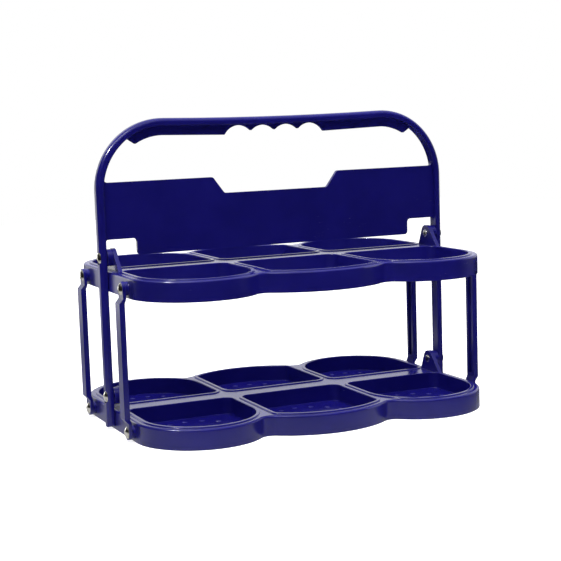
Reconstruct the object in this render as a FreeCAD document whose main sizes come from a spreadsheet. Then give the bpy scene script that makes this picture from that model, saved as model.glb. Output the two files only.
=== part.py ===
import FreeCAD, Part
import math
import os
from types import SimpleNamespace

import Sketcher

# Folding carrier for six sports bottles: a lower tray of six cups, an upper tray of six rings,
# a hooped handle frame between their ends, and four jogged links that keep both trays level
# while the frame leans. +X runs along the trays, -Y is the front and +Z is up.
# The origin lies on the floor below the middle of the lower tray.

# Driving sizes in millimetres, one sheet cell each.
SIZES = {
    # openings of both trays
    "cell_pitch": 100.0,
    "cell_width": 91.5,
    "cell_corner": 8.0,
    "row_gap": 25.6,
    "end_cell_centre": 59.5,
    "middle_front_radius": 72.0,
    "middle_front_reach": 105.5,
    "middle_front_corner": 5.0,
    # tray mouldings
    "rim_width": 7.7,
    "valley_radius": 10.0,
    "tray_height": 16.5,
    "plate_thickness": 2.2,
    "skirt_wall": 2.2,
    "cup_wall": 2.0,
    "lip_width": 3.0,
    "lip_height": 0.9,
    "lip_round": 0.7,
    "rim_round": 1.8,
    "floor_thickness": 2.0,
    "floor_lift": 1.3,
    "foot_width": 2.4,
    # lugs that carry the frame, and bosses that carry the links
    "lug_thickness": 3.3,
    "lug_round": 7.5,
    "lug_front": 21.5,
    "lug_rear": 14.0,
    "lug_boss": 14.0,
    "link_boss": 11.0,
    "link_boss_height": 2.7,
    # linkage
    "pivot_height": 27.4,
    "tray_spacing": 114.6,
    "link_reach": 53.5,
    "link_drop": 19.6,
    "running_gap": 0.3,
    # links
    "link_width": 12.0,
    "bar_width": 11.0,
    "eye_thickness": 2.6,
    "inner_jog": 1.2,
    "outer_jog": 3.1,
    "eye_run": 7.6,
    "joggle_run": 3.6,
    "channel_width": 5.6,
    "channel_depth": 2.4,
    # hoop of the handle frame
    "frame_lift": 2.2,
    "foot_round": 2.5,
    "handle_rise": 111.5,
    "band_width": 10.4,
    "band_thickness": 6.2,
    "band_inner_round": 0.8,
    "band_outer_round": 3.6,
    "hoop_radius": 58.3,
    "crown_radius": 3300.0,
    "head_seat": 1.0,
    "head_margin": 0.5,
    # panel below the grip
    "panel_thickness": 3.2,
    "panel_lift": 0.7,
    "panel_height": 60.2,
    "panel_round": 3.0,
    "notch_height": 13.8,
    "notch_width": 27.2,
    "step_depth": 13.75,
    "step_width": 115.8,
    "step_base": 95.6,
    # grip web
    "web_thickness": 3.0,
    "web_depth": 14.1,
    "web_round": 0.9,
    "grip_width": 91.8,
    "finger_pitch": 21.7,
    "finger_radius": 15.0,
    "cusp_drop": 13.3,
    "grip_end_drop": 15.85,
    # rivets
    "rivet_shank": 3.7,
    "rivet_head": 9.8,
    "head_height": 2.1,
    "roll_diameter": 6.8,
    "roll_height": 1.0,
    "rivet_bore": 2.4,
    "bore_depth": 6.0,
    "fit_clearance": 0.06,
    "seat_gap": 0.05,
    # every cut starts this far clear of the material
    "overrun": 1.0,
}

# Turns of the web's tip and of its root in the hoop, from the top of the hoop's corner.
WEB_TIP_TURN = math.radians(31.0)
WEB_ROOT_TURN = math.radians(36.0)
# Share of the band's thickness that the web reaches into the hoop.
WEB_ROOT_SHARE = 1 / 3

# Two lengths or heights that differ by less than this count as the same.
SAME_WITHIN = 0.01

START, END, CENTRE = 1, 2, 3
SKETCH_ORIGIN = (-1, 1)
ACROSS_AXIS, UP_AXIS = -1, -2


class Size:
    """A length worked out from the sheet, with the expression that keeps a feature bound to it."""

    def __init__(self, value, text):
        self.value = value
        self.text = text

    def __add__(self, other):
        return Size(self.value + value_of(other), f"({self.text} + {text_of(other)})")

    def __sub__(self, other):
        return Size(self.value - value_of(other), f"({self.text} - {text_of(other)})")

    def __mul__(self, other):
        return Size(self.value * value_of(other), f"({self.text} * {text_of(other)})")

    def __truediv__(self, other):
        return Size(self.value / value_of(other), f"({self.text} / {text_of(other)})")

    def __neg__(self):
        return Size(-self.value, f"(-1 * {self.text})")

    def root(self):
        return Size(math.sqrt(self.value), f"sqrt({self.text})")


def value_of(item):
    return item.value if isinstance(item, Size) else item


def text_of(item):
    return item.text if isinstance(item, Size) else repr(item)


ZERO = Size(0.0, "0")

doc = FreeCAD.newDocument("bottle_carrier")
sheet = doc.addObject("Spreadsheet::Sheet", "sizes")
for row, (alias, length) in enumerate(SIZES.items(), start=1):
    sheet.set(f"A{row}", alias)
    sheet.set(f"B{row}", str(length))
    sheet.setAlias(f"B{row}", alias)
doc.recompute()
dim = SimpleNamespace(**{alias: Size(length, f"sizes.{alias}") for alias, length in SIZES.items()})

# Places that several pieces share.
cell_half = dim.cell_width / 2
cup_face = dim.cell_pitch + cell_half
end_face = cup_face + dim.rim_width
link_height = dim.pivot_height - dim.link_drop
upper_pivot = dim.pivot_height + dim.tray_spacing
band_inside = end_face + dim.running_gap
band_outside = band_inside + dim.band_thickness
frame_top = upper_pivot + dim.handle_rise
lug_outside = cup_face + dim.lug_thickness
skirt_inside = end_face - dim.skirt_wall
boss_outside = end_face + dim.link_boss_height
eye_inside = boss_outside + dim.running_gap
eye_outside = eye_inside + dim.eye_thickness
bar_inside = eye_inside + dim.inner_jog
bar_outside = eye_outside + dim.outer_jog
lip_top = dim.tray_height + dim.lip_height
floor_top = dim.floor_lift + dim.floor_thickness
shank_hole = dim.rivet_shank / 2 + dim.fit_clearance
middle_front_centre = dim.middle_front_reach - dim.middle_front_radius


def point(across, up):
    return FreeCAD.Vector(value_of(across), value_of(up), 0)


class Drawing:
    """A sketch on one of a body's own planes, with its places and radii bound to the sheet."""

    def __init__(self, body, name, plane, lift=None):
        self.sketch = body.newObject("Sketcher::SketchObject", name)
        self.sketch.AttachmentSupport = (origin_plane(body, plane), [""])
        self.sketch.MapMode = "FlatFace"
        if lift is not None:
            self.sketch.setExpression("AttachmentOffset.Base.z", lift.text)

    def bind(self, constraint, size):
        index = self.sketch.addConstraint(constraint)
        self.sketch.setExpression(f"Constraints[{index}]", size.text)

    def place(self, geometry, spot, across, up):
        """Hold one point of a line, arc or circle at a bound place."""
        for kind, size, axis in (("DistanceX", across, UP_AXIS), ("DistanceY", up, ACROSS_AXIS)):
            if size.value == 0:
                self.sketch.addConstraint(Sketcher.Constraint("PointOnObject", geometry, spot, axis))
            else:
                held = Sketcher.Constraint(kind, *SKETCH_ORIGIN, geometry, spot, size.value)
                self.bind(held, size)

    def line(self, start, end):
        return self.sketch.addGeometry(Part.LineSegment(start, end), False)

    def arc(self, centre, radius, start, end):
        """An arc that turns left from start to end about its centre."""
        first = math.atan2(start.y - centre.y, start.x - centre.x)
        last = math.atan2(end.y - centre.y, end.x - centre.x)
        if last <= first:
            last += math.tau
        circle = Part.Circle(centre, FreeCAD.Vector(0, 0, 1), radius.value)
        geometry = self.sketch.addGeometry(Part.ArcOfCircle(circle, first, last), False)
        self.bind(Sketcher.Constraint("Radius", geometry, radius.value), radius)
        return geometry

    def circle(self, across, up, radius):
        round_line = Part.Circle(point(across, up), FreeCAD.Vector(0, 0, 1), radius.value)
        geometry = self.sketch.addGeometry(round_line, False)
        self.place(geometry, CENTRE, across, up)
        self.bind(Sketcher.Constraint("Radius", geometry, radius.value), radius)

    def join(self, kind, first, second):
        self.sketch.addConstraint(Sketcher.Constraint(kind, *first, *second))

    def outline(self, corners, arcs=None):
        """A closed outline through bound corners. arcs gives, by the corner that an arc starts
        from, its radius and its turn, 1 to the left and -1 to the right."""
        arcs = arcs or {}
        spots = [point(*corner) for corner in corners]
        ends = []
        for number, start in enumerate(spots):
            end = spots[(number + 1) % len(spots)]
            if number not in arcs:
                geometry = self.line(start, end)
                ends.append(((geometry, START), (geometry, END)))
                continue
            radius, turn = arcs[number]
            chord = end - start
            aside = FreeCAD.Vector(-chord.y, chord.x, 0).normalize() * turn
            reach = math.sqrt(max(radius.value ** 2 - (chord.Length / 2) ** 2, 0))
            centre = start + chord / 2 + aside * reach
            if turn > 0:
                geometry = self.arc(centre, radius, start, end)
                ends.append(((geometry, START), (geometry, END)))
            else:
                geometry = self.arc(centre, radius, end, start)
                ends.append(((geometry, END), (geometry, START)))
        for number, corner in enumerate(corners):
            begin = ends[number][0]
            self.join("Coincident", ends[number - 1][1], begin)
            self.place(*begin, *corner)


def origin_plane(body, role):
    return next(item for item in body.Origin.OriginFeatures if item.Role == role)


def new_body(label):
    body = doc.addObject("PartDesign::Body", label)
    body.Label = label
    return body


def pad(body, name, drawing, length, symmetric=False):
    feature = body.newObject("PartDesign::Pad", name)
    feature.Profile = drawing.sketch
    feature.setExpression("Length", length.text)
    if symmetric:
        feature.SideType = "Symmetric"
    doc.recompute()
    return feature


def pocket(body, name, drawing, length, symmetric=False, forward=False):
    """Cut a drawing's outline away, against its plane's normal unless forward is set."""
    before = body.Shape.Volume
    feature = body.newObject("PartDesign::Pocket", name)
    feature.Profile = drawing.sketch
    feature.setExpression("Length", length.text)
    feature.Reversed = forward
    if symmetric:
        feature.SideType = "Symmetric"
    doc.recompute()
    if body.Shape.Volume >= before:
        raise RuntimeError(f"{body.Label}: {name} cuts nothing")
    return feature


def round_edges(body, name, radius, chosen):
    """Round every edge of the body so far that chosen accepts."""
    base = body.Tip
    picked = [f"Edge{number}" for number, edge in enumerate(base.Shape.Edges, start=1) if chosen(edge)]
    feature = body.newObject("PartDesign::Fillet", name)
    feature.Base = (base, picked)
    feature.setExpression("Radius", radius.text)
    doc.recompute()
    return feature


def mirror_ends(body, features):
    """Repeat features of the right end on the left end."""
    feature = body.newObject("PartDesign::Mirrored", "left_end")
    feature.Originals = features
    feature.MirrorPlane = (origin_plane(body, "YZ_Plane"), [""])
    body.Tip = feature
    doc.recompute()


def is_same(first, second):
    return abs(first - second) < SAME_WITHIN


def runs_level_at(edge, height):
    return all(is_same(vertex.Z, height.value) for vertex in edge.Vertexes)


# Trays


def circles_meet(first, first_radius, second, second_radius):
    """The crossing of two circles that lies to the left of the way from first to second."""
    way = second - first
    along = (first_radius ** 2 - second_radius ** 2 + way.Length ** 2) / (2 * way.Length)
    aside = math.sqrt(first_radius ** 2 - along ** 2)
    forward = FreeCAD.Vector(way).normalize()
    return first + forward * along + FreeCAD.Vector(-forward.y, forward.x, 0) * aside


def toward(start, goal, distance):
    return start + (goal - start).normalize() * distance


def draw_tray_outline(body, name, inset):
    """The scalloped outline of a tray: flat ends, a round lobe at each corner cell, a shallow lobe
    at each middle cell and a hollow valley between lobes, all tangent, drawn in by inset."""
    drawing = Drawing(body, name, "XY_Plane")
    lobe_radius = cell_half + dim.rim_width - inset
    middle_radius = dim.middle_front_radius + dim.rim_width - inset
    valley_radius = dim.valley_radius + inset
    chain = []

    def lobe(side, row, start, end):
        centre = point(dim.cell_pitch * side, dim.end_cell_centre * row)
        geometry = drawing.arc(centre, lobe_radius, start, end)
        drawing.place(geometry, CENTRE, dim.cell_pitch * side, dim.end_cell_centre * row)
        chain.append(((geometry, START), (geometry, END)))

    def valley(centre, start, end):
        geometry = drawing.arc(centre, valley_radius, end, start)
        chain.append(((geometry, END), (geometry, START)))

    for row in (1, -1):
        lobe_ahead = point(dim.cell_pitch * row, dim.end_cell_centre * row)
        lobe_behind = point(dim.cell_pitch * -row, dim.end_cell_centre * row)
        middle = point(ZERO, middle_front_centre * row)
        reaches = (lobe_radius.value + valley_radius.value, middle_radius.value + valley_radius.value)
        valley_ahead = circles_meet(middle, reaches[1], lobe_ahead, reaches[0])
        valley_behind = circles_meet(lobe_behind, reaches[0], middle, reaches[1])
        end_out = FreeCAD.Vector(row * lobe_radius.value, 0, 0)

        side_line = drawing.line(
            lobe_ahead + end_out - FreeCAD.Vector(0, 2 * lobe_ahead.y, 0), lobe_ahead + end_out
        )
        chain.append(((side_line, START), (side_line, END)))
        leave = toward(lobe_ahead, valley_ahead, lobe_radius.value)
        lobe(row, row, lobe_ahead + end_out, leave)
        meet = toward(middle, valley_ahead, middle_radius.value)
        valley(valley_ahead, leave, meet)
        part = toward(middle, valley_behind, middle_radius.value)
        crown = drawing.arc(middle, middle_radius, meet, part)
        drawing.place(crown, CENTRE, ZERO, middle_front_centre * row)
        chain.append(((crown, START), (crown, END)))
        arrive = toward(lobe_behind, valley_behind, lobe_radius.value)
        valley(valley_behind, part, arrive)
        lobe(-row, row, arrive, lobe_behind - end_out)
    for number, (begin, _) in enumerate(chain):
        drawing.join("Tangent", chain[number - 1][1], begin)
    return drawing


def draw_cells(body, name, lift, grow):
    """The six bottle openings, each grown outwards by grow."""
    drawing = Drawing(body, name, "XY_Plane", lift)
    half = cell_half + grow
    corner = dim.cell_corner + grow
    rib_side = dim.row_gap / 2 - grow
    front_radius = dim.middle_front_radius + grow
    front_corner = dim.middle_front_corner + grow
    inner_radius = front_radius - front_corner
    inner_half = half - front_corner
    front_run = (inner_radius * inner_radius - inner_half * inner_half).root()
    spread = front_radius / inner_radius
    for row in (1, -1):
        for column in (-1, 0, 1):
            middle = dim.cell_pitch * column if column else ZERO
            if column:
                draw_end_cell(drawing, middle, row, half, corner, rib_side)
            else:
                side_end = middle_front_centre + front_run
                front_end = (inner_half * spread, middle_front_centre + front_run * spread)
                draw_middle_cell(
                    drawing, row, half, corner, rib_side, side_end, front_end, front_radius, front_corner
                )
    return drawing


def draw_end_cell(drawing, middle, row, half, corner, rib_side):
    """A corner cell: a square inner end with round corners, and a half-round outer end."""
    turn = row
    corners = [
        (middle - half + corner, rib_side * row),
        (middle + half - corner, rib_side * row),
        (middle + half, (rib_side + corner) * row),
        (middle + half, dim.end_cell_centre * row),
        (middle, (dim.end_cell_centre + half) * row),
        (middle - half, dim.end_cell_centre * row),
        (middle - half, (rib_side + corner) * row),
    ]
    arcs = {1: (corner, turn), 3: (half, turn), 4: (half, turn), 6: (corner, turn)}
    drawing.outline(corners, arcs)


def draw_middle_cell(drawing, row, half, corner, rib_side, side_end, front_end, front_radius, front_corner):
    """A middle cell: like a corner cell inside, with a shallow bowed outer side."""
    turn = row
    corners = [
        (corner - half, rib_side * row),
        (half - corner, rib_side * row),
        (half, (rib_side + corner) * row),
        (half, side_end * row),
        (front_end[0], front_end[1] * row),
        (-front_end[0], front_end[1] * row),
        (-half, side_end * row),
        (-half, (rib_side + corner) * row),
    ]
    arcs = {
        1: (corner, turn),
        3: (front_corner, turn),
        4: (front_radius, turn),
        5: (front_corner, turn),
        7: (corner, turn),
    }
    drawing.outline(corners, arcs)


def draw_lug(body):
    """A lug's face: a triangle on the plate, longer to the front, with a round apex on the pivot."""
    drawing = Drawing(body, "lug_face", "YZ_Plane", cup_face)
    foot = dim.tray_height - dim.plate_thickness
    pivot = point(ZERO, dim.pivot_height)
    rear_foot = point(dim.lug_rear, foot)
    front_foot = point(-dim.lug_front, foot)

    def touch_from(corner, turn):
        """Where the line from a foot touches the round apex."""
        away = corner - pivot
        swing = math.acos(dim.lug_round.value / away.Length)
        bearing = math.atan2(away.y, away.x) + swing * turn
        return pivot + FreeCAD.Vector(math.cos(bearing), math.sin(bearing), 0) * dim.lug_round.value

    rear_touch = touch_from(rear_foot, 1)
    front_touch = touch_from(front_foot, -1)
    base = drawing.line(front_foot, rear_foot)
    rear_edge = drawing.line(rear_foot, rear_touch)
    apex = drawing.arc(pivot, dim.lug_round, rear_touch, front_touch)
    front_edge = drawing.line(front_touch, front_foot)
    drawing.place(apex, CENTRE, ZERO, dim.pivot_height)
    drawing.place(base, START, -dim.lug_front, foot)
    drawing.place(base, END, dim.lug_rear, foot)
    drawing.join("Coincident", (base, END), (rear_edge, START))
    drawing.join("Tangent", (rear_edge, END), (apex, START))
    drawing.join("Tangent", (apex, END), (front_edge, START))
    drawing.join("Coincident", (front_edge, END), (base, START))
    return drawing


def draw_at_links(body, name, lift, radius):
    """A circle about each of the two link rivets of a tray's right end."""
    drawing = Drawing(body, name, "YZ_Plane", lift)
    for row in (1, -1):
        drawing.circle(dim.link_reach * row, link_height, radius)
    return drawing


def make_tray(label, floored, lift):
    """One tray, drawn with its foot at the zero level and then lifted to its place."""
    body = new_body(label)
    pad(body, "block", draw_tray_outline(body, "outline", ZERO), dim.tray_height)
    round_edges(body, "outer_rim", dim.rim_round, lambda edge: runs_level_at(edge, dim.tray_height))
    hollow = draw_tray_outline(body, "hollow_outline", dim.skirt_wall)
    pocket(body, "underside", hollow, dim.tray_height - dim.plate_thickness, forward=True)
    pad(body, "cup_walls", draw_cells(body, "cup_outlines", None, dim.cup_wall), dim.tray_height)
    pad(body, "lips", draw_cells(body, "lip_outlines", dim.tray_height, dim.lip_width), dim.lip_height)
    openings = draw_cells(body, "opening_outlines", lip_top, ZERO)
    if floored:
        pocket(body, "openings", openings, lip_top - floor_top)
        feet = draw_cells(body, "foot_outlines", None, -dim.foot_width)
        pocket(body, "floor_recess", feet, dim.floor_lift, forward=True)
    else:
        pocket(body, "openings", openings, lip_top + dim.overrun)
    round_edges(body, "lip_edges", dim.lip_round, lambda edge: runs_level_at(edge, lip_top))

    lug = pad(body, "lug", draw_lug(body), dim.lug_thickness)
    boss_face = Drawing(body, "lug_boss_face", "YZ_Plane", lug_outside)
    boss_face.circle(ZERO, dim.pivot_height, dim.lug_boss / 2)
    boss = pad(body, "lug_boss", boss_face, end_face - lug_outside)
    pivot_face = Drawing(body, "pivot_hole", "YZ_Plane", end_face + dim.overrun)
    pivot_face.circle(ZERO, dim.pivot_height, shank_hole)
    pivot_bore = pocket(body, "pivot_bore", pivot_face, dim.rim_width + dim.overrun * 2)
    link_boss_faces = draw_at_links(body, "link_boss_faces", end_face, dim.link_boss / 2)
    link_bosses = pad(body, "link_bosses", link_boss_faces, dim.link_boss_height)
    link_holes = draw_at_links(body, "link_holes", boss_outside + dim.overrun, shank_hole)
    link_bores = pocket(body, "link_bores", link_holes, boss_outside - skirt_inside + dim.overrun * 2)
    mirror_ends(body, [lug, boss, pivot_bore, link_bosses, link_bores])
    body.setExpression("Placement.Base.z", lift.text)
    return body


# Handle frame


def draw_hoop_path(body):
    """The inner line of the hoop: upright, round corner, slightly sagging top, corner, upright."""
    drawing = Drawing(body, "hoop_path", "XZ_Plane")
    inner_radius = dim.hoop_radius - dim.band_thickness
    corner_x = band_inside - inner_radius
    corner_z = frame_top - dim.hoop_radius
    right_centre = point(corner_x, corner_z)
    left_centre = point(-corner_x, corner_z)
    sag_height = math.sqrt((dim.crown_radius.value + inner_radius.value) ** 2 - corner_x.value ** 2)
    sag_centre = FreeCAD.Vector(0, corner_z.value + sag_height, 0)
    right_meet = toward(right_centre, sag_centre, inner_radius.value)
    left_meet = toward(left_centre, sag_centre, inner_radius.value)
    right_turn = point(band_inside, corner_z)
    left_turn = point(-band_inside, corner_z)
    right = drawing.line(point(band_inside, dim.frame_lift), right_turn)
    right_corner = drawing.arc(right_centre, inner_radius, right_turn, right_meet)
    crown = drawing.arc(sag_centre, dim.crown_radius, left_meet, right_meet)
    left_corner = drawing.arc(left_centre, inner_radius, left_meet, left_turn)
    left = drawing.line(left_turn, point(-band_inside, dim.frame_lift))
    drawing.place(right_corner, CENTRE, corner_x, corner_z)
    drawing.place(left_corner, CENTRE, -corner_x, corner_z)
    drawing.join("Tangent", (right, END), (right_corner, START))
    drawing.join("Tangent", (right_corner, END), (crown, END))
    drawing.join("Tangent", (crown, START), (left_corner, START))
    drawing.join("Tangent", (left_corner, END), (left, START))
    for upright, foot in ((right, START), (left, END)):
        drawing.sketch.addConstraint(Sketcher.Constraint("Vertical", upright))
        foot_level = Sketcher.Constraint("DistanceY", *SKETCH_ORIGIN, upright, foot, dim.frame_lift.value)
        drawing.bind(foot_level, dim.frame_lift)
    return drawing


def draw_band_section(body):
    """The band's section at the foot of the right upright: a flat bar, rounder outside than inside."""
    drawing = Drawing(body, "band_section", "XY_Plane", dim.frame_lift)
    half = dim.band_width / 2
    near = band_inside + dim.band_inner_round
    far = band_outside - dim.band_outer_round
    inner_flat = half - dim.band_inner_round
    outer_flat = half - dim.band_outer_round
    corners = [
        (near, -half),
        (far, -half),
        (band_outside, -outer_flat),
        (band_outside, outer_flat),
        (far, half),
        (near, half),
        (band_inside, inner_flat),
        (band_inside, -inner_flat),
    ]
    outer_corner = (dim.band_outer_round, 1)
    inner_corner = (dim.band_inner_round, 1)
    drawing.outline(corners, {1: outer_corner, 3: outer_corner, 5: inner_corner, 7: inner_corner})
    return drawing


def draw_panel(body):
    """The bare panel: a stepped top edge, and a notch at each lower corner to clear the lugs."""
    drawing = Drawing(body, "panel_face", "XZ_Plane")
    root = band_inside + dim.band_thickness / 2
    bottom = upper_pivot + dim.panel_lift
    top = bottom + dim.panel_height
    notch_top = bottom + dim.notch_height
    notch_side = band_inside - dim.notch_width
    step_level = top - dim.step_depth
    right_side = [
        (notch_side, bottom),
        (notch_side, notch_top),
        (root, notch_top),
        (root, top),
        (dim.step_width / 2, top),
        (dim.step_base / 2, step_level),
    ]
    left_side = [(-across, up) for across, up in reversed(right_side)]
    drawing.outline(right_side + left_side)
    return drawing


def draw_grip_web(body):
    """The web under the top of the hoop, with four finger scallops and a pointed tip at each end."""
    drawing = Drawing(body, "grip_web_face", "XZ_Plane")
    corner_radius = dim.hoop_radius - dim.band_thickness
    corner_x = band_inside - corner_radius
    corner_z = frame_top - dim.hoop_radius
    web_radius = dim.hoop_radius - dim.web_depth
    root_radius = corner_radius + dim.band_thickness * WEB_ROOT_SHARE
    grip_half = dim.grip_width / 2
    cusp = frame_top - dim.cusp_drop
    grip_end = frame_top - dim.grip_end_drop
    right_side = [
        (dim.finger_pitch, cusp),
        (grip_half, grip_end),
        (corner_x, corner_z + web_radius),
        (corner_x + web_radius * math.sin(WEB_TIP_TURN), corner_z + web_radius * math.cos(WEB_TIP_TURN)),
        (corner_x + root_radius * math.sin(WEB_ROOT_TURN), corner_z + root_radius * math.cos(WEB_ROOT_TURN)),
        (corner_x, corner_z + root_radius),
    ]
    left_side = [(-across, up) for across, up in reversed(right_side)]
    scallop = (dim.finger_radius, -1)
    arcs = {
        0: scallop,
        1: scallop,
        3: (web_radius, -1),
        5: (root_radius, 1),
        7: (root_radius, 1),
        9: (web_radius, -1),
        11: scallop,
        12: scallop,
    }
    drawing.outline([(ZERO, cusp)] + right_side + left_side, arcs)
    return drawing


def draw_foot_trim(body):
    """What is cut from the feet of the uprights to round their corners."""
    drawing = Drawing(body, "foot_trim", "YZ_Plane")
    half = dim.band_width / 2
    flat = half - dim.foot_round
    beyond = half + dim.overrun
    spring = dim.frame_lift + dim.foot_round
    below = dim.frame_lift - dim.overrun
    corners = [
        (-beyond, below),
        (beyond, below),
        (beyond, spring),
        (half, spring),
        (flat, dim.frame_lift),
        (-flat, dim.frame_lift),
        (-half, spring),
        (-beyond, spring),
    ]
    foot_corner = (dim.foot_round, -1)
    drawing.outline(corners, {3: foot_corner, 5: foot_corner})
    return drawing


def is_cross_edge(edge):
    """Whether an edge is straight and runs from front to rear."""
    ends = [vertex.Point for vertex in edge.Vertexes]
    if len(ends) != 2 or edge.Curve.TypeId != "Part::GeomLine":
        return False
    way = ends[1] - ends[0]
    return is_same(abs(way.y), way.Length)


def make_frame():
    body = new_body("handle_frame")
    path = draw_hoop_path(body)
    section = draw_band_section(body)
    hoop = body.newObject("PartDesign::AdditivePipe", "hoop")
    hoop.Profile = section.sketch
    hoop.Spine = (path.sketch, [""])
    doc.recompute()
    trim = draw_foot_trim(body)
    pocket(body, "feet", trim, (band_outside + dim.overrun) * 2, symmetric=True)
    pad(body, "panel", draw_panel(body), dim.panel_thickness, symmetric=True)
    panel_top = upper_pivot + dim.panel_lift + dim.panel_height

    def on_panel(edge):
        middle = edge.CenterOfMass
        across = abs(middle.x) <= band_inside.value + SAME_WITHIN
        upward = upper_pivot.value < middle.z <= panel_top.value + SAME_WITHIN
        as_long = is_same(edge.Length, dim.panel_thickness.value)
        return is_cross_edge(edge) and across and upward and as_long

    round_edges(body, "panel_corners", dim.panel_round, on_panel)
    pad(body, "grip_web", draw_grip_web(body), dim.web_thickness, symmetric=True)

    def on_web(edge):
        above = edge.CenterOfMass.z > panel_top.value + dim.panel_round.value
        as_long = is_same(edge.Length, dim.web_thickness.value)
        return is_cross_edge(edge) and above and as_long

    round_edges(body, "web_corners", dim.web_round, on_web)

    holes = Drawing(body, "pivot_holes", "YZ_Plane", band_outside + dim.overrun)
    seats = Drawing(body, "head_seats", "YZ_Plane", band_outside + dim.overrun)
    for height in (dim.pivot_height, upper_pivot):
        holes.circle(ZERO, height, shank_hole)
        seats.circle(ZERO, height, dim.rivet_head / 2 + dim.head_margin)
    bores = pocket(body, "pivot_bores", holes, dim.band_thickness + dim.overrun * 2)
    flats = pocket(body, "head_flats", seats, dim.head_seat + dim.overrun)
    mirror_ends(body, [bores, flats])
    return body


# Links


def draw_link_face(body):
    """A link seen from its side of the carrier: two round eyes and a slimmer bar."""
    drawing = Drawing(body, "link_face", "YZ_Plane", eye_inside)
    eye = dim.link_width / 2
    bar = dim.bar_width / 2
    shoulder = dim.eye_run + dim.joggle_run
    corners = [
        (-eye, ZERO),
        (ZERO, -eye),
        (eye, ZERO),
        (eye, dim.eye_run),
        (bar, shoulder),
        (bar, dim.tray_spacing - shoulder),
        (eye, dim.tray_spacing - dim.eye_run),
        (eye, dim.tray_spacing),
        (ZERO, dim.tray_spacing + eye),
        (-eye, dim.tray_spacing),
        (-eye, dim.tray_spacing - dim.eye_run),
        (-bar, dim.tray_spacing - shoulder),
        (-bar, shoulder),
        (-eye, dim.eye_run),
    ]
    drawing.outline(corners, {number: (eye, 1) for number in (0, 1, 7, 8)})
    return drawing


def draw_inner_relief(body):
    """What is cut from behind the bar, so that it stands off further than the eyes."""
    drawing = Drawing(body, "inner_relief", "XZ_Plane")
    shoulder = dim.eye_run + dim.joggle_run
    corners = [
        (eye_inside - dim.overrun, dim.eye_run),
        (eye_inside, dim.eye_run),
        (bar_inside, shoulder),
        (bar_inside, dim.tray_spacing - shoulder),
        (eye_inside, dim.tray_spacing - dim.eye_run),
        (eye_inside - dim.overrun, dim.tray_spacing - dim.eye_run),
    ]
    drawing.outline(corners)
    return drawing


def draw_outer_relief(body):
    """What is cut from in front of both eyes, to leave thin eyes under the rivet heads."""
    drawing = Drawing(body, "outer_relief", "XZ_Plane")
    beyond = bar_outside + dim.overrun
    shoulder = dim.eye_run + dim.joggle_run
    clear = dim.link_width / 2 + dim.overrun
    drawing.outline([
        (eye_outside, -clear),
        (beyond, -clear),
        (beyond, shoulder),
        (bar_outside, shoulder),
        (eye_outside, dim.eye_run),
    ])
    drawing.outline([
        (eye_outside, dim.tray_spacing - dim.eye_run),
        (bar_outside, dim.tray_spacing - shoulder),
        (beyond, dim.tray_spacing - shoulder),
        (beyond, dim.tray_spacing + clear),
        (eye_outside, dim.tray_spacing + clear),
    ])
    return drawing


def make_link(label, side, row):
    """One link, drawn on the right side about its lower rivet. A left one is turned half round."""
    body = new_body(label)
    pad(body, "plate", draw_link_face(body), bar_outside - eye_inside)
    wide = dim.link_width + dim.overrun * 2
    pocket(body, "inner_cut", draw_inner_relief(body), wide, symmetric=True)
    pocket(body, "outer_cut", draw_outer_relief(body), wide, symmetric=True)
    eyes = Drawing(body, "eye_holes", "YZ_Plane", eye_outside + dim.overrun)
    eyes.circle(ZERO, ZERO, shank_hole)
    eyes.circle(ZERO, dim.tray_spacing, shank_hole)
    pocket(body, "eye_bores", eyes, dim.eye_thickness + dim.overrun * 2)
    channel = Drawing(body, "channel_face", "YZ_Plane", bar_inside)
    half = dim.channel_width / 2
    low = dim.eye_run + dim.joggle_run + half
    channel.outline([
        (-half, low),
        (half, low),
        (half, dim.tray_spacing - low),
        (-half, dim.tray_spacing - low),
    ])
    pocket(body, "channel", channel, dim.channel_depth, forward=True)
    set_place(body, side, ZERO, dim.link_reach * row, link_height)
    return body


# Rivets


def set_place(body, side, across, along, height):
    """Put a piece in its place, turned half round where it belongs to the left end."""
    if side < 0:
        body.Placement = FreeCAD.Placement(FreeCAD.Vector(), FreeCAD.Rotation(FreeCAD.Vector(0, 0, 1), 180))
    for axis, size in (("x", across * side), ("y", along), ("z", height)):
        body.setExpression(f"Placement.Base.{axis}", size.text)


def make_rivet(label, side, seat, clinch, along, height):
    """A semi-tubular rivet from its head's seat to the face that its tip is rolled over on."""
    body = new_body(label)
    drawing = Drawing(body, "half_section", "XZ_Plane")
    head = dim.rivet_head / 2
    shank = dim.rivet_shank / 2
    bore = dim.rivet_bore / 2
    roll = dim.roll_diameter / 2
    dome_radius = (head * head + dim.head_height * dim.head_height) / (dim.head_height * 2)
    grip = seat - clinch + dim.seat_gap
    tip = -grip - dim.roll_height
    corners = [
        (dim.head_height, ZERO),
        (ZERO, head),
        (ZERO, shank),
        (-grip, shank),
        (-grip, roll),
        (tip, roll - dim.roll_height),
        (tip, bore),
        (tip + dim.bore_depth, bore),
        (tip + dim.bore_depth, ZERO),
    ]
    drawing.outline(corners, {0: (dome_radius, 1), 4: (dim.roll_height, 1)})
    turned = body.newObject("PartDesign::Revolution", "turned")
    turned.Profile = drawing.sketch
    turned.ReferenceAxis = (drawing.sketch, ["H_Axis"])
    turned.Angle = 360
    doc.recompute()
    set_place(body, side, seat, along, height)
    return body


SIDES = {"left": -1, "right": 1}
ROWS = {"front": -1, "rear": 1}
LEVELS = {"lower": ZERO, "upper": dim.tray_spacing}

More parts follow.
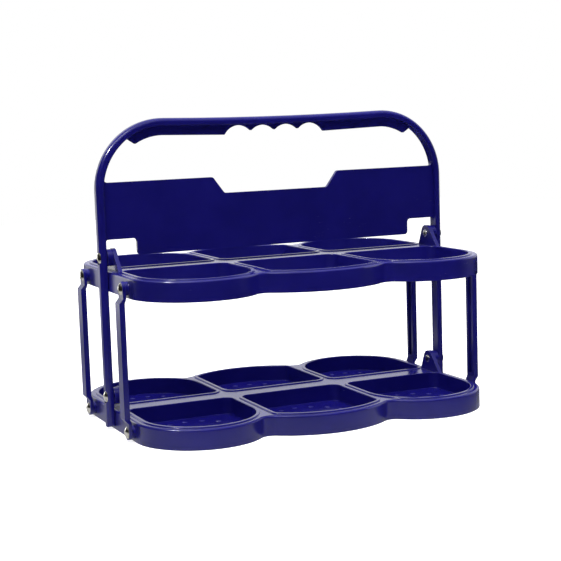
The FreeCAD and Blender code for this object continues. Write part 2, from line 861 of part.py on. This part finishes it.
pieces = [make_frame()]
pieces.append(make_tray("lower_tray", True, ZERO))
pieces.append(make_tray("upper_tray", False, dim.tray_spacing))
pivot_seat = band_outside - dim.head_seat + dim.seat_gap
link_seat = eye_outside + dim.seat_gap
for side_name, side in SIDES.items():
    for level_name, level in LEVELS.items():
        name = f"{level_name}_pivot_rivet_{side_name}"
        pieces.append(make_rivet(name, side, pivot_seat, cup_face, ZERO, dim.pivot_height + level))
    for row_name, row in ROWS.items():
        pieces.append(make_link(f"link_{row_name}_{side_name}", side, row))
        for level_name, level in LEVELS.items():
            name = f"{level_name}_link_rivet_{row_name}_{side_name}"
            along = dim.link_reach * row
            pieces.append(make_rivet(name, side, link_seat, skirt_inside, along, link_height + level))
doc.recompute()

for item in doc.Objects:
    if "Invalid" in item.State or "Error" in item.State:
        raise RuntimeError(f"{item.Label} failed: {item.State}")
for piece in pieces:
    if piece.Shape.isNull() or not piece.Shape.isValid():
        raise RuntimeError(f"{piece.Label} has no valid shape")
    if len(piece.Shape.Solids) != 1:
        raise RuntimeError(f"{piece.Label} is {len(piece.Shape.Solids)} solids")

os.makedirs("parts", exist_ok=True)
for piece in pieces:
    piece.Shape.exportStep(f"parts/{piece.Label}.step")
print(f"{len(pieces)} pieces written")
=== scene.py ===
# %% [markdown]
# # A folding carrier for six bottles
# The carrier is three blue mouldings, four moulded links and twelve bright rivets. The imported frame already
# holds each of them as its own solid at real size, so this lesson dresses those solids: it gives the
# plastic and the steel their finishes, adds the small pips on the cup floors, and sets up the photograph's
# studio. All lengths are in metres and every piece is in the frame's own place.

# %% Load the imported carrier
import math

import bpy
from mathutils import Matrix, Vector


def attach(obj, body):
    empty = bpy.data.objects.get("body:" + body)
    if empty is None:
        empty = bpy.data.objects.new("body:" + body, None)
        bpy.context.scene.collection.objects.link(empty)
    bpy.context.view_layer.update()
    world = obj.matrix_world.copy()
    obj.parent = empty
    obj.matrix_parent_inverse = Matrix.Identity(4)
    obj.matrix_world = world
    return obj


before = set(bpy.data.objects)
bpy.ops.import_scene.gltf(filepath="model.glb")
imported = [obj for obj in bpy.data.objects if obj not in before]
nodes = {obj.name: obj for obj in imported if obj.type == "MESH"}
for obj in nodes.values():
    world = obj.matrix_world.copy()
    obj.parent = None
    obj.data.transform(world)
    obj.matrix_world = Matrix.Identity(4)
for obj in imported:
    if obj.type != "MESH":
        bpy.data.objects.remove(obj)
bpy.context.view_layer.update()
print("pieces from the frame:", len(nodes))

# %% [markdown]
# ## The camera
# The photograph looks at the front and the left end from a little above the handle's top, through a longish
# lens. The camera's place, its three turns and the lens were worked out beforehand from the carrier's own
# corners, so here they are only written down. A camera looks along its own minus Z with Y up, so its matrix
# takes the right, up and backward directions as columns. The small roll is the tilt of the picture.

# %% Place the camera
CAMERA_PLACE = Vector((-0.4790, -1.0849, 0.2584))
CAMERA_YAW = 0.4169
CAMERA_PITCH = 0.1238
CAMERA_ROLL = 0.0330
SENSOR_WIDTH = 36.0
LENS = 88.95

forward = Vector((math.sin(CAMERA_YAW) * math.cos(CAMERA_PITCH),
                  math.cos(CAMERA_YAW) * math.cos(CAMERA_PITCH),
                  -math.sin(CAMERA_PITCH)))
level_right = Vector((math.cos(CAMERA_YAW), -math.sin(CAMERA_YAW), 0.0))
level_down = forward.cross(level_right)
right = level_right * math.cos(CAMERA_ROLL) + level_down * math.sin(CAMERA_ROLL)
up = level_right * math.sin(CAMERA_ROLL) - level_down * math.cos(CAMERA_ROLL)

lens = bpy.data.cameras.new("photo_camera")
lens.sensor_fit = "HORIZONTAL"
lens.sensor_width = SENSOR_WIDTH
lens.lens = LENS
lens.dof.use_dof = False
camera = bpy.data.objects.new("photo_camera", lens)
bpy.context.scene.collection.objects.link(camera)
turn = Matrix((right, up, -forward)).transposed()
camera.matrix_world = Matrix.Translation(CAMERA_PLACE) @ turn.to_4x4()
bpy.context.scene.camera = camera
bpy.context.scene.view_settings.view_transform = "Standard"
print("camera looks along", [round(part, 3) for part in forward])

# %% [markdown]
# ## Node helpers
# Each finish below is a small tree of shader nodes. A few helpers keep that readable: each adds one kind of
# node, wires it up and hands back its output. The noise is read in Object coordinates. Those are the
# frame's own metres, so a noise scale of 1000 means detail of about a millimetre on every piece.

# %% Define the node helpers
def add_node(tree, kind, **settings):
    """A new node of this kind, with inputs named by the settings."""
    node = tree.nodes.new(kind)
    for name, value in settings.items():
        node.inputs[name.replace("_", " ")].default_value = value
    return node


def join(tree, source, target):
    """A wire from an output socket to an input socket."""
    tree.links.new(source, target)


def add_noise(tree, place, scale, detail, rough=0.5):
    """A noise over the piece, its features about one over the scale in size."""
    noise = add_node(tree, "ShaderNodeTexNoise", Scale=scale, Detail=detail, Roughness=rough)
    join(tree, place, noise.inputs["Vector"])
    return noise.outputs["Fac"]


def add_split(tree, vector):
    """The X, Y and Z outputs of a vector."""
    node = tree.nodes.new("ShaderNodeSeparateXYZ")
    join(tree, vector, node.inputs["Vector"])
    return node.outputs


def add_range(tree, source, taken, given):
    """The taken range of the source, spread over the given range and held at its ends."""
    node = tree.nodes.new("ShaderNodeMapRange")
    node.clamp = True
    for name, value in zip(("From Min", "From Max", "To Min", "To Max"), taken + given):
        node.inputs[name].default_value = value
    join(tree, source, node.inputs["Value"])
    return node.outputs["Result"]


print("helpers for nodes, wires, noise, splits and ranges ready")

# %% [markdown]
# The rest of the helpers join values and colours. The last one starts a material: it hands back the shader
# that every new material has, and the place on the piece that the patterns read.

# %% Define the helpers that join values and colours
def add_math(tree, operation, first, second):
    """Two values joined by one operation. The second may be a plain number."""
    node = tree.nodes.new("ShaderNodeMath")
    node.operation = operation
    join(tree, first, node.inputs[0])
    if isinstance(second, float):
        node.inputs[1].default_value = second
    else:
        join(tree, second, node.inputs[1])
    return node.outputs["Value"]


def add_product(tree, first, *others):
    """All the values multiplied together."""
    product = first
    for other in others:
        product = add_math(tree, "MULTIPLY", product, other)
    return product


def add_colour_mix(tree, share, first, second):
    """A blend of two colours by a share. A colour is a tuple or another node's output."""
    node = tree.nodes.new("ShaderNodeMix")
    node.data_type = "RGBA"
    join(tree, share, node.inputs[0])
    for socket, colour in ((node.inputs[6], first), (node.inputs[7], second)):
        if isinstance(colour, tuple):
            socket.default_value = colour
        else:
            join(tree, colour, socket)
    return node.outputs[2]


def start_material(name):
    """A new material with its tree, its Principled shader and the place on the piece."""
    material = bpy.data.materials.new(name)
    material.use_nodes = True
    tree = material.node_tree
    shader = tree.nodes["Principled BSDF"]
    place = tree.nodes.new("ShaderNodeTexCoord").outputs["Object"]
    return material, tree, shader, place


print("helpers for values, colours and materials ready")

# %% [markdown]
# ## Rubbed edges and a painted edge highlight
# Every edge of a moulding is slightly round and gets rubbed paler in use. The solids have sharp rims.
# Rounding each of them in the mesh would take very many faces, so a Bevel node rounds the light on the
# edges instead, by half a millimetre. The same node tells where an edge is: there its normal leaves the
# true one, and that difference, broken up by a noise, is the mask of the wear and of a painted highlight.
# The paler colour on that mask is partly real rubbing and partly a painted highlight where light catches the
# edges.

# %% Define the rubbed edges and their painted highlight
NONE_TO_ALL = (0.0, 1.0)
ALL_TO_NONE = (1.0, 0.0)
EDGE_ROUNDING = 0.0005
EDGE_SAMPLES = 6
EDGE_LIKENESS = (0.995, 0.86)
PATCH_SCALE = 140.0
PATCH_DETAIL = 4.0
PATCH_NOISE = (0.42, 0.62)
PATCH_SHARE = (0.10, 0.50)


def add_rounded_normal(tree):
    """The normal of the piece with every edge rounded."""
    rounded = add_node(tree, "ShaderNodeBevel", Radius=EDGE_ROUNDING)
    rounded.samples = EDGE_SAMPLES
    return rounded.outputs["Normal"]


def add_edge_wear_and_highlight(tree, place, true_normal, rounded_normal):
    """How far an edge is rubbed and painted with a highlight: nothing on the faces between the edges."""
    alike = tree.nodes.new("ShaderNodeVectorMath")
    alike.operation = "DOT_PRODUCT"
    join(tree, rounded_normal, alike.inputs[0])
    join(tree, true_normal, alike.inputs[1])
    edge = add_range(tree, alike.outputs["Value"], EDGE_LIKENESS, NONE_TO_ALL)
    patches = add_noise(tree, place, PATCH_SCALE, PATCH_DETAIL)
    return add_product(tree, edge, add_range(tree, patches, PATCH_NOISE, PATCH_SHARE))


print("edges are rounded by", EDGE_ROUNDING, "m")

# %% [markdown]
# ## Scuffs and duller ends
# Handling leaves faint scuffs in some places and none in others. They could be painted, but a noise drawn
# out in one direction looks like strokes, and a second, coarse one chooses the places. The faces that point
# outwards at the two ends take most knocks, so they are a little duller. They are found by the place along
# X times the normal's own X, which is large only there, so the inner faces and the fronts keep their gloss.

# %% Define the scuffs and the duller ends
SCRATCH_STRETCH = (1.0, 0.35, 5.0)
SCRATCH_TURN = (0.3, 0.5, 0.2)
SCRATCH_SCALE = 190.0
SCRATCH_DETAIL = 6.0
SCRATCH_COARSENESS = 0.65
SCRATCH_NOISE = (0.60, 0.72)
HANDLED_SCALE = 16.0
HANDLED_DETAIL = 2.0
HANDLED_NOISE = (0.48, 0.66)
END_REACH = (0.1490, 0.1535)
END_DULLNESS = (0.0, 0.15)


def add_scuffs(tree, place):
    """Drawn-out scratches where the carrier is handled."""
    drawn_out = add_node(tree, "ShaderNodeMapping", Scale=SCRATCH_STRETCH, Rotation=SCRATCH_TURN)
    join(tree, place, drawn_out.inputs["Vector"])
    strokes = drawn_out.outputs["Vector"]
    scratches = add_noise(tree, strokes, SCRATCH_SCALE, SCRATCH_DETAIL, SCRATCH_COARSENESS)
    handled = add_noise(tree, place, HANDLED_SCALE, HANDLED_DETAIL)
    return add_product(tree, add_range(tree, scratches, SCRATCH_NOISE, NONE_TO_ALL),
                       add_range(tree, handled, HANDLED_NOISE, NONE_TO_ALL))


def add_dull_ends(tree, place, true_normal):
    """The roughness that the outward faces at the two ends have more than the rest."""
    where = add_split(tree, place)
    facing = add_split(tree, true_normal)
    outward = add_product(tree, where["X"], facing["X"])
    return add_range(tree, outward, END_REACH, END_DULLNESS)


print("the ends are duller from", END_REACH[0], "m on")

# %% [markdown]
# ## The blue plastic
# Trays, frame and links are one glossy navy polypropylene. Seen close, such a moulding isn't flat: the
# colour drifts a little where the melt flowed, and the gloss is slightly cloudy with a fine orange peel.
# One Principled shader takes all of it: the flow, the scuffs and the wear tint the colour and roughen the
# gloss, the paler edges are partly a painted highlight, and the peel is a faint bump on top of the rounded
# normal.

# %% Make the blue plastic
NAVY_DEEP = (0.0095, 0.0080, 0.185, 1.0)
NAVY_LIGHT = (0.0125, 0.0105, 0.225, 1.0)
# Paler edge colour: partly real rubbing, partly a painted highlight where light catches the edges.
NAVY_RUBBED_AND_HIGHLIT = (0.034, 0.031, 0.270, 1.0)
NAVY_SCUFFED = (0.020, 0.017, 0.240, 1.0)
PLASTIC_IOR = 1.49
FLOW_SCALE = 22.0
FLOW_DETAIL = 3.0
FLOW_NOISE = (0.35, 0.65)
CLOUD_SCALE = 60.0
CLOUD_DETAIL = 5.0
CLOUD_NOISE = (0.3, 0.7)
CLOUD_ROUGHNESS = (0.17, 0.23)
SCUFF_TINT = 0.5
SCUFF_ROUGHNESS = 0.12
WEAR_ROUGHNESS = 0.10
PEEL_SCALE = 420.0
PEEL_DETAIL = 3.0
PEEL_STRENGTH = 0.035
PEEL_DEPTH = 0.0004


def make_blue_plastic():
    """Glossy moulded plastic with flow marks, orange peel, scuffs, rubbed edges with a painted highlight and
    duller ends.
    """
    material, tree, shader, place = start_material("blue_plastic")
    true_normal = tree.nodes.new("ShaderNodeNewGeometry").outputs["Normal"]
    rounded_normal = add_rounded_normal(tree)
    edge_wear_and_highlight = add_edge_wear_and_highlight(tree, place, true_normal, rounded_normal)
    scuff = add_scuffs(tree, place)

    flow = add_range(tree, add_noise(tree, place, FLOW_SCALE, FLOW_DETAIL), FLOW_NOISE, NONE_TO_ALL)
    body_colour = add_colour_mix(tree, flow, NAVY_DEEP, NAVY_LIGHT)
    scuffed = add_colour_mix(tree, add_product(tree, scuff, SCUFF_TINT), body_colour, NAVY_SCUFFED)
    # The edges turn paler here: partly wear, partly a painted highlight.
    join(tree, add_colour_mix(tree, edge_wear_and_highlight, scuffed, NAVY_RUBBED_AND_HIGHLIT), shader.inputs["Base Color"])

    clouds = add_noise(tree, place, CLOUD_SCALE, CLOUD_DETAIL)
    roughness = add_range(tree, clouds, CLOUD_NOISE, CLOUD_ROUGHNESS)
    for more in (add_dull_ends(tree, place, true_normal),
                 add_product(tree, scuff, SCUFF_ROUGHNESS),
                 add_product(tree, edge_wear_and_highlight, WEAR_ROUGHNESS)):
        roughness = add_math(tree, "ADD", roughness, more)
    join(tree, roughness, shader.inputs["Roughness"])

    peel = add_node(tree, "ShaderNodeBump", Strength=PEEL_STRENGTH, Distance=PEEL_DEPTH)
    join(tree, add_noise(tree, place, PEEL_SCALE, PEEL_DETAIL), peel.inputs["Height"])
    join(tree, rounded_normal, peel.inputs["Normal"])
    join(tree, peel.outputs["Normal"], shader.inputs["Normal"])
    shader.inputs["IOR"].default_value = PLASTIC_IOR
    return material


blue_plastic = make_blue_plastic()
print("blue plastic:", len(blue_plastic.node_tree.nodes), "nodes")

# %% [markdown]
# ## The rivet steel
# The rivets are semi-tubular steel with a bright nickel finish: a smooth dome outside and a rolled ring
# inside. A new one would be a mirror. These have fine handling scratches and slight tarnish clouds. One
# roughness for all would look like plastic paint, so the roughness and the tint both follow noise.

# %% Make the rivet steel
STEEL_BRIGHT = (0.66, 0.645, 0.61, 1.0)
STEEL_TARNISHED = (0.42, 0.40, 0.34, 1.0)
TARNISH_SCALE = 420.0
TARNISH_DETAIL = 4.0
TARNISH_NOISE = (0.45, 0.72)
TARNISH_ROUGHNESS = 0.10
FINE_SCALE = 1500.0
FINE_DETAIL = 5.0
FINE_COARSENESS = 0.6
FINE_NOISE = (0.35, 0.7)
FINE_ROUGHNESS = (0.10, 0.20)
FINE_STRENGTH = 0.05
FINE_DEPTH = 0.0002


def make_rivet_steel():
    """Bright nickel with a little tarnish and fine scratches."""
    material, tree, shader, place = start_material("rivet_steel")
    clouds = add_noise(tree, place, TARNISH_SCALE, TARNISH_DETAIL)
    tarnish = add_range(tree, clouds, TARNISH_NOISE, NONE_TO_ALL)
    join(tree, add_colour_mix(tree, tarnish, STEEL_BRIGHT, STEEL_TARNISHED), shader.inputs["Base Color"])
    fine = add_noise(tree, place, FINE_SCALE, FINE_DETAIL, FINE_COARSENESS)
    dull = add_math(tree, "ADD", add_range(tree, fine, FINE_NOISE, FINE_ROUGHNESS),
                    add_product(tree, tarnish, TARNISH_ROUGHNESS))
    join(tree, dull, shader.inputs["Roughness"])
    scratched = add_node(tree, "ShaderNodeBump", Strength=FINE_STRENGTH, Distance=FINE_DEPTH)
    join(tree, fine, scratched.inputs["Height"])
    join(tree, scratched.outputs["Normal"], shader.inputs["Normal"])
    shader.inputs["Metallic"].default_value = 1.0
    return material


rivet_steel = make_rivet_steel()
print("rivet steel:", len(rivet_steel.node_tree.nodes), "nodes")

# %% [markdown]
# ## Dressing the frame's pieces
# The solids have the right shapes, so they stay as they are and only their material slots change. Every
# node with rivet in its name is steel, and the rest are blue plastic.

# %% Dress the frame's pieces
for name, piece in nodes.items():
    finish = rivet_steel if "rivet" in name else blue_plastic
    for slot in piece.material_slots:
        slot.material = finish
print("steel pieces:", sum("rivet" in name for name in nodes), "of", len(nodes))

# %% [markdown]
# ## The pips on the cup floors
# Each cup floor carries a ring of small round pips that keep a wet bottle foot off the plastic. One pip is
# modelled by hand from a sphere: the lower half is bisected away and the rest is flattened to a low dome. A
# spin with duplicates then makes the ring, as a turntable would, and the ring is copied to the other cups.

# %% Model one ring of pips
ORIGIN = (0.0, 0.0, 0.0)
UPWARDS = (0.0, 0.0, 1.0)
PIP_RADIUS = 0.0027
PIP_HEIGHT = 0.0006
PIP_SINK = 0.0001
PIP_COUNT = 15
PIP_RING_RADIUS = 0.0345
PIP_SEGMENTS = 16
PIP_BANDS = 12
WELD_DISTANCE = 0.00001
SMOOTH_BELOW = math.radians(50.0)


def make_pip_ring():
    """Low domes in a ring about the origin, the first one toward plus Y."""
    bpy.ops.object.select_all(action="DESELECT")
    bpy.ops.mesh.primitive_uv_sphere_add(segments=PIP_SEGMENTS, ring_count=PIP_BANDS, radius=PIP_RADIUS,
                                         location=ORIGIN)
    ring = bpy.context.object
    bpy.ops.object.mode_set(mode="EDIT")
    bpy.ops.mesh.select_all(action="SELECT")
    bpy.ops.mesh.bisect(plane_co=ORIGIN, plane_no=UPWARDS, use_fill=True, clear_inner=True)
    bpy.ops.mesh.select_all(action="SELECT")
    flatten = (PIP_HEIGHT + PIP_SINK) / PIP_RADIUS
    bpy.ops.transform.resize(value=(1.0, 1.0, flatten), center_override=ORIGIN)
    bpy.ops.transform.translate(value=(0.0, PIP_RING_RADIUS, 0.0))
    bpy.ops.mesh.spin(steps=PIP_COUNT, dupli=True, angle=2.0 * math.pi, center=ORIGIN, axis=UPWARDS)
    bpy.ops.mesh.select_all(action="SELECT")
    bpy.ops.mesh.remove_doubles(threshold=WELD_DISTANCE)
    bpy.ops.mesh.normals_make_consistent(inside=False)
    bpy.ops.object.mode_set(mode="OBJECT")
    bpy.ops.object.shade_smooth_by_angle(angle=SMOOTH_BELOW)
    return ring


first_ring = make_pip_ring()
print("one ring:", len(first_ring.data.vertices), "points,", len(first_ring.data.polygons), "faces")

# %% [markdown]
# The first ring is only the pattern. Each cup gets a copy with its own mesh, turned so that one pip points
# at the centre rib, and its place is applied to the mesh, so that the object itself stays at the origin.
# The pips are part of the lower tray's moulding, so they ride on it and share its plastic.

# %% Set a ring of pips in each cup
CUP_FLOOR_TOP = 0.0033
CELL_PITCH = 0.100
ROW_CENTRE = 0.0585
CUP_ROWS = {"front": -1, "rear": 1}
CUP_COLUMNS = {"left": -1, "middle": 0, "right": 1}

for row_name, row in CUP_ROWS.items():
    for column_name, column in CUP_COLUMNS.items():
        pips = first_ring.copy()
        pips.data = first_ring.data.copy()
        pips.name = f"cup_pips_{row_name}_{column_name}"
        bpy.context.scene.collection.objects.link(pips)
        pips.location = (CELL_PITCH * column, ROW_CENTRE * row, CUP_FLOOR_TOP - PIP_SINK)
        pips.rotation_euler = (0.0, 0.0, math.pi if row > 0 else 0.0)
        bpy.ops.object.select_all(action="DESELECT")
        pips.select_set(True)
        bpy.context.view_layer.objects.active = pips
        bpy.ops.object.transform_apply(location=True, rotation=True, scale=True)
        pips.data.materials.append(blue_plastic)
        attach(pips, "lower_tray")
bpy.data.objects.remove(first_ring)
print("pip rings:", len(CUP_ROWS) * len(CUP_COLUMNS))

# %% [markdown]
# ## The studio floor
# The photograph's ground is pure white with hardly a shadow. The floor is a plain sheet, a plane stretched
# to its size and applied, so that its Object coordinates are metres too.

# %% Lay the floor
FLOOR_LEFT, FLOOR_RIGHT = -1.6, 1.6
FLOOR_FRONT, FLOOR_BACK = -0.50, 2.2

bpy.ops.object.select_all(action="DESELECT")
bpy.ops.mesh.primitive_plane_add(size=1.0, location=ORIGIN)
floor = bpy.context.object
floor.name = "studio_floor"
floor.scale = (FLOOR_RIGHT - FLOOR_LEFT, FLOOR_BACK - FLOOR_FRONT, 1.0)
floor.location = ((FLOOR_LEFT + FLOOR_RIGHT) / 2, (FLOOR_FRONT + FLOOR_BACK) / 2, 0.0)
bpy.ops.object.transform_apply(location=True, rotation=True, scale=True)
print("floor:", FLOOR_RIGHT - FLOOR_LEFT, "by", FLOOR_BACK - FLOOR_FRONT, "m")

# %% [markdown]
# ## What the gloss sees of the floor
# Shiny plastic mirrors its ground. In the photograph the left ends of the trays and links mirror something
# white,
# while the inner sides at the right mirror something dark. Two painted reflection patches on the floor give
# that:
# they glow only for glossy rays and light nothing. One lies under the carrier and stops near its right end,
# and one lies off to the left and behind. Each is a product of soft steps along X and Y. A second, smaller
# plane could do the same, but its border would show in the picture.

# %% Mark the floor patches painted into the reflections
UNDER_BEHIND_Y = (0.22, 0.40)
UNDER_BEFORE_Y = (-0.32, -0.12)
UNDER_LEFT_X = (-0.50, -0.32)
UNDER_RIGHT_X = (0.10, 0.24)
LEFT_PATCH_X = (-0.42, -0.30)
LEFT_PATCH_SLANT = 0.55
LEFT_PATCH_SLANTED = (-0.40, -0.20)

floor_white = bpy.data.materials.new("floor_white")
floor_white.use_nodes = True
floor_tree = floor_white.node_tree
floor_tree.nodes.clear()
spot = add_split(floor_tree, floor_tree.nodes.new("ShaderNodeTexCoord").outputs["Object"])

# Painted reflection: these patches glow for glossy rays only and light nothing.
under_reflection_patch = add_product(floor_tree,
                          add_range(floor_tree, spot["Y"], UNDER_BEHIND_Y, ALL_TO_NONE),
                          add_range(floor_tree, spot["Y"], UNDER_BEFORE_Y, NONE_TO_ALL),
                          add_range(floor_tree, spot["X"], UNDER_LEFT_X, NONE_TO_ALL),
                          add_range(floor_tree, spot["X"], UNDER_RIGHT_X, ALL_TO_NONE))
slanted = add_math(floor_tree, "ADD", spot["X"], add_product(floor_tree, spot["Y"], LEFT_PATCH_SLANT))
left_reflection_patch = add_product(floor_tree,
                         add_range(floor_tree, spot["X"], LEFT_PATCH_X, ALL_TO_NONE),
                         add_range(floor_tree, slanted, LEFT_PATCH_SLANTED, NONE_TO_ALL))
painted_reflection_share = add_math(floor_tree, "MAXIMUM", left_reflection_patch, under_reflection_patch)
print("nodes for the mirrored sheets:", len(floor_tree.nodes))

# %% [markdown]
# ## The floor's white
# For the camera the floor glows most of the way to white by itself, and the rest is the light that falls on
# it, so a faint contact shadow stays under the carrier. Far behind, where little light falls, the glow
# alone is white, so that no line shows where the floor ends. Light Path tells a camera ray from a glossy
# one: glossy rays see only the painted reflection patches, a glow that lights nothing.

# %% Give the floor its white
FLOOR_WHITE = (0.86, 0.86, 0.87, 1.0)
FLOOR_GLOW = (0.86, 0.86, 0.86, 1.0)
FAR_FLOOR_GLOW = (1.0, 1.0, 1.0, 1.0)
FAR_FLOOR_Y = (0.60, 1.40)
# Painted reflection: the white that the patches glow with, seen only by glossy rays.
PAINTED_REFLECTION_WHITE = (0.70, 0.70, 0.71, 1.0)

seen = floor_tree.nodes.new("ShaderNodeLightPath")
sheet = add_node(floor_tree, "ShaderNodeBsdfDiffuse", Color=FLOOR_WHITE)
glow = floor_tree.nodes.new("ShaderNodeEmission")
far_off = add_range(floor_tree, spot["Y"], FAR_FLOOR_Y, NONE_TO_ALL)
join(floor_tree, add_colour_mix(floor_tree, far_off, FLOOR_GLOW, FAR_FLOOR_GLOW), glow.inputs["Color"])
join(floor_tree, seen.outputs["Is Camera Ray"], glow.inputs["Strength"])
lit_sheet = floor_tree.nodes.new("ShaderNodeAddShader")
join(floor_tree, sheet.outputs["BSDF"], lit_sheet.inputs[0])
join(floor_tree, glow.outputs["Emission"], lit_sheet.inputs[1])
# Painted reflection glow, switched on for glossy rays only.
painted_reflection_glow = add_node(floor_tree, "ShaderNodeEmission", Color=PAINTED_REFLECTION_WHITE)
join(floor_tree, painted_reflection_share, painted_reflection_glow.inputs["Strength"])
chosen = floor_tree.nodes.new("ShaderNodeMixShader")
join(floor_tree, seen.outputs["Is Glossy Ray"], chosen.inputs["Fac"])
join(floor_tree, lit_sheet.outputs["Shader"], chosen.inputs[1])
join(floor_tree, painted_reflection_glow.outputs["Emission"], chosen.inputs[2])
floor_end = floor_tree.nodes.new("ShaderNodeOutputMaterial")
join(floor_tree, chosen.outputs["Shader"], floor_end.inputs["Surface"])
floor.data.materials.append(floor_white)
print("floor white:", len(floor_tree.nodes), "nodes")

# %% [markdown]
# ## The studio around it
# Gloss also shows what stands around the object. Behind the carrier and to the right there is a white
# sweep, which turns the flat tray tops pale at this low angle, and high up there is a paler grey, which
# gives the hoop its violet top. In front, where the photographer stands, and behind on the left the room is
# dark, which keeps the panel and the inner sides deep blue. The soft fill light is stronger from the left
# than from the right. The camera itself always sees white.

# %% Set the studio's surroundings
STUDIO_WHITE = (1.0, 1.0, 1.0, 1.0)
STUDIO_DARK = (0.02, 0.02, 0.022, 1.0)
FILL_FROM_LEFT = (0.02, 0.02, 0.02, 1.0)
FILL_FROM_RIGHT = (0.01, 0.01, 0.01, 1.0)
SWEEP_DEPTH = (-0.45, 0.0)
SWEEP_RIGHTWARD = (-0.46, -0.32)
OVERHEAD_HEIGHT = (0.42, 0.72)
OVERHEAD_SHARE = (0.0, 0.60)
FILL_ACROSS = (-0.7, 0.7)

world = bpy.context.scene.world or bpy.data.worlds.new("studio")
bpy.context.scene.world = world
world.use_nodes = True
sky = world.node_tree
sky.nodes.clear()
toward = add_split(sky, sky.nodes.new("ShaderNodeTexCoord").outputs["Generated"])
behind_right = add_product(sky, add_range(sky, toward["Y"], SWEEP_DEPTH, NONE_TO_ALL),
                           add_range(sky, toward["X"], SWEEP_RIGHTWARD, NONE_TO_ALL))
overhead = add_range(sky, toward["Z"], OVERHEAD_HEIGHT, OVERHEAD_SHARE)
sweep = add_math(sky, "MAXIMUM", behind_right, overhead)
mirrored = add_colour_mix(sky, sweep, STUDIO_DARK, STUDIO_WHITE)
across = add_range(sky, toward["X"], FILL_ACROSS, NONE_TO_ALL)
fill = add_colour_mix(sky, across, FILL_FROM_LEFT, FILL_FROM_RIGHT)
path = sky.nodes.new("ShaderNodeLightPath")
mirror_ray = add_math(sky, "MAXIMUM", path.outputs["Is Glossy Ray"], path.outputs["Is Transmission Ray"])
lit = add_colour_mix(sky, mirror_ray, fill, mirrored)
picture = add_colour_mix(sky, path.outputs["Is Camera Ray"], lit, STUDIO_WHITE)
backdrop = add_node(sky, "ShaderNodeBackground", Strength=1.0)
join(sky, picture, backdrop.inputs["Color"])
sky_end = sky.nodes.new("ShaderNodeOutputWorld")
join(sky, backdrop.outputs["Background"], sky_end.inputs["Surface"])
print("surroundings:", len(sky.nodes), "nodes")

# %% [markdown]
# ## The lamps
# A wide soft box overhead gives nearly all of the light. It has no mirror image, as if a filter had taken
# it away, so the slopes of the lugs and the top of the hoop stay blue. A weak one in front lifts the panel,
# and one at the front left draws the bright line round the hoop's corner. A small bare lamp further to the
# left works only by its mirror image, the white specks on the rims of the front left lobes. A small white
# card low behind the left end is mirrored in the ends of the trays and links. Area lamps suit all five,
# because their size sets how soft the light and how large the mirror image is.

# %% Hang the lamps
CARRIER_MIDDLE = (0.0, 0.0, 0.10)
LEFT_END = (-0.16, 0.0, 0.07)


def hang_lamp(name, place, target, size, power):
    """A square area lamp at a place, aimed at a target."""
    lamp = bpy.data.lights.new(name, "AREA")
    lamp.shape = "SQUARE"
    lamp.size = size
    lamp.energy = power
    hung = bpy.data.objects.new(name, lamp)
    hung.visible_camera = False
    bpy.context.scene.collection.objects.link(hung)
    aim = Vector(target) - Vector(place)
    hung.matrix_world = Matrix.Translation(place) @ aim.to_track_quat("-Z", "Y").to_matrix().to_4x4()
    return hung


top_box = hang_lamp("top_soft_box", place=(0.0, -0.12, 1.8), target=CARRIER_MIDDLE, size=1.4, power=40.0)
top_box.visible_glossy = False
hang_lamp("front_soft_box", place=(-0.20, -0.90, 1.50), target=CARRIER_MIDDLE, size=1.0, power=1.5)
hang_lamp("corner_soft_box", place=(-0.60, -0.62, 1.40), target=CARRIER_MIDDLE, size=0.45, power=3.5)
left_lamp = hang_lamp("left_lamp", place=(-1.35, -0.42, 1.42), target=CARRIER_MIDDLE, size=0.06, power=30.0)
left_lamp.visible_diffuse = False
hang_lamp("end_card", place=(-0.42, 0.52, 0.10), target=LEFT_END, size=0.20, power=0.30)
print("lamps:", [lamp.name for lamp in bpy.data.lights])
